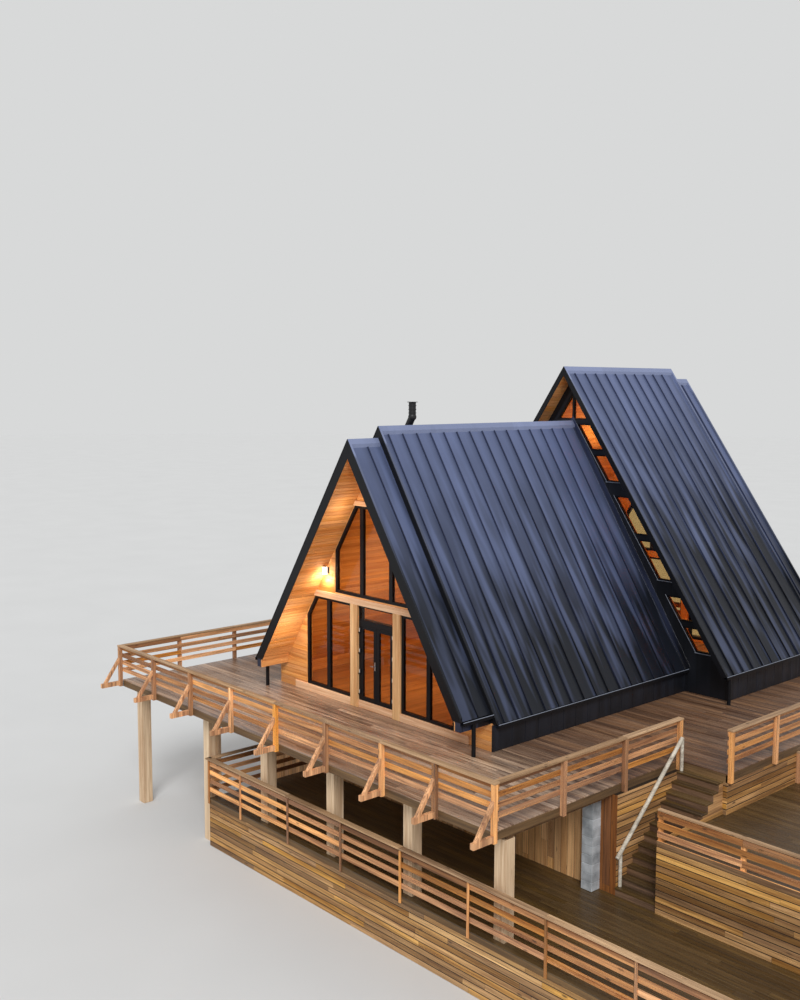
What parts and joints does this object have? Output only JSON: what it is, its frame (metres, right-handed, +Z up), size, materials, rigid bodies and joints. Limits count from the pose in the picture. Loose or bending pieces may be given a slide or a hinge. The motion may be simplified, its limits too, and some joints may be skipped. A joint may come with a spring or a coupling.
{
  "type": "a-frame cabin",
  "caption": "Timber A-frame cabin with a stepped standing-seam roof, a glazed gable with double doors, a raised deck, a lower terrace and a stair.",
  "frame": {"origin": "on the ground, under the ridge line, in the middle of the front base wall's foot", "axes": "+X to the right of someone who faces the front gable, +Y back along the ridge, +Z up"},
  "size_m": [21.683, 18.169, 12.7209],
  "materials": {
    "roof_metal": "satin anthracite standing-seam sheet",
    "cladding": "satin black sheet cladding",
    "black_metal": "satin black coated metal",
    "pine": "warm pine boards",
    "pale_timber": "pale planed glulam",
    "rail_timber": "sawn larch boards",
    "deck_boards": "grooved brown deck boards",
    "wall_boards": "sawn weathered boards",
    "concrete": "bare concrete",
    "glass": "clear insulating glass",
    "handle_metal": "brushed",
    "pole_white": "peeled pale pole"
  },
  "bodies": {
    "root": {"base_walls": "wall_boards", "base_pier": "concrete", "upper_deck": "deck_boards", "cabin_floor": "pale_timber", "deck_posts": "pale_timber", "deck_beams": "pale_timber", "outriggers": "rail_timber", "rail_front": "rail_timber", "rail_right": "rail_timber", "rail_patio_side": "rail_timber", "rail_left": "rail_timber", "rail_rear": "rail_timber", "lower_terrace": "deck_boards", "terrace_skirt": "wall_boards", "lower_rail": "rail_timber", "patio_floor": "deck_boards", "patio_walls": "wall_boards", "patio_fence": "rail_timber", "stair_cheeks": "wall_boards", "stair_treads": "deck_boards", "stair_risers": "wall_boards", "stair_handrail": "pole_white", "plinths": "cladding", "front_wall_left": "pine", "front_wall_right": "pine", "front_wall_upper": "pine", "tall_wall": "cladding", "rear_wall": "cladding", "main_roof": "roof_metal", "tall_roof": "roof_metal", "hoods": "roof_metal", "soffit_linings": "pine", "roof_seams": "roof_metal", "roof_flashings": "roof_metal", "rainwater": "black_metal", "flue": "black_metal", "gable_timbers": "pale_timber", "window_frames": "black_metal", "window_glass": "glass", "door_frame": "black_metal"},
    "left_leaf": {"door_left": "black_metal", "door_left_glass": "glass", "door_left_handle": "handle_metal"},
    "right_leaf": {"door_right": "black_metal", "door_right_glass": "glass"}
  },
  "joints": [
    {"name": "left_leaf_hinge", "type": "hinge", "parent": "root", "child": "left_leaf", "pos_m": [-0.647, -0.472, 4.8], "axis": [0, 0, -1], "range_deg": [0, 90]},
    {"name": "right_leaf_hinge", "type": "hinge", "parent": "root", "child": "right_leaf", "pos_m": [0.647, -0.472, 4.8], "axis": [0, 0, 1], "range_deg": [0, 90]}
  ]
}
